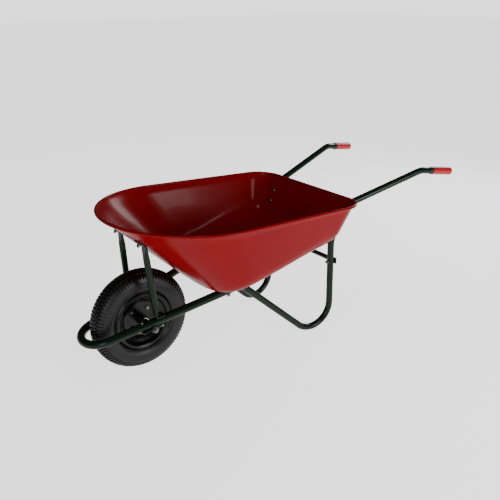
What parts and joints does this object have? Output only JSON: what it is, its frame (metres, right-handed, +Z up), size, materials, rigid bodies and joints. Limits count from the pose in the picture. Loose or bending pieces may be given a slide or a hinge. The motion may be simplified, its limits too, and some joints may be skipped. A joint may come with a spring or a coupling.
{
  "type": "wheelbarrow",
  "caption": "Builder's wheelbarrow with a pressed steel tray on a bent tube frame, legs that run on into gripped handles, and a spinning pneumatic wheel.",
  "frame": {"origin": "centre of the overall footprint, on the floor", "axes": "+X forward towards the wheel, +Y to the left, +Z up"},
  "size_m": [1.6651, 0.7058, 0.6542],
  "materials": {
    "tray_paint": "gloss",
    "frame_paint": "gloss",
    "rim_paint": "gloss",
    "bare_steel": "satin",
    "zinc_plated_steel": "satin",
    "bearing_steel": "polished",
    "grip_vinyl": "satin",
    "collar_plastic": "satin",
    "tyre_rubber": "satin",
    "black_rubber": "matte",
    "valve_plastic": "matte"
  },
  "bodies": {
    "barrow_frame": {"tray": "tray_paint", "rim_wire": "bare_steel", "hoop_and_rails": "frame_paint", "leg_handle_left": "frame_paint", "leg_handle_right": "frame_paint", "grip_left": "grip_vinyl", "grip_right": "grip_vinyl", "grip_collar_left": "collar_plastic", "grip_collar_right": "collar_plastic", "front_strut_left": "frame_paint", "front_strut_right": "frame_paint", "crossbar": "frame_paint", "axle_clamp_left": "frame_paint", "axle_clamp_right": "frame_paint", "axle": "zinc_plated_steel", "axle_nuts": "zinc_plated_steel", "axle_washers": "zinc_plated_steel", "axle_spacer_left": "zinc_plated_steel", "axle_spacer_right": "zinc_plated_steel", "bearing_spacer": "zinc_plated_steel", "bearing_inner_rings": "bearing_steel", "clamp_bolts": "zinc_plated_steel", "clamp_nuts": "zinc_plated_steel", "clamp_washers": "zinc_plated_steel", "strut_bolts": "zinc_plated_steel", "strut_nuts": "zinc_plated_steel", "strut_washers": "zinc_plated_steel", "floor_bolts": "zinc_plated_steel", "floor_nuts": "zinc_plated_steel", "floor_washers": "zinc_plated_steel", "rear_bolts": "zinc_plated_steel", "rear_nuts": "zinc_plated_steel", "rear_washers": "zinc_plated_steel", "crossbar_bolts": "zinc_plated_steel", "crossbar_nuts": "zinc_plated_steel", "crossbar_washers": "zinc_plated_steel"},
    "wheel": {"tyre": "tyre_rubber", "inner_tube": "black_rubber", "rim_left": "rim_paint", "rim_right": "rim_paint", "rim_bolts": "zinc_plated_steel", "rim_nuts": "zinc_plated_steel", "hub": "rim_paint", "bearing_outer_rings": "bearing_steel", "bearing_balls": "bearing_steel", "bearing_seals": "black_rubber", "valve_stem": "black_rubber", "valve_cap": "valve_plastic"}
  },
  "joints": [
    {"name": "wheel_spin", "type": "hinge", "parent": "barrow_frame", "child": "wheel", "pos_m": [0.5825, 0, 0.2], "axis": [0, 1, 0], "continuous": true}
  ]
}
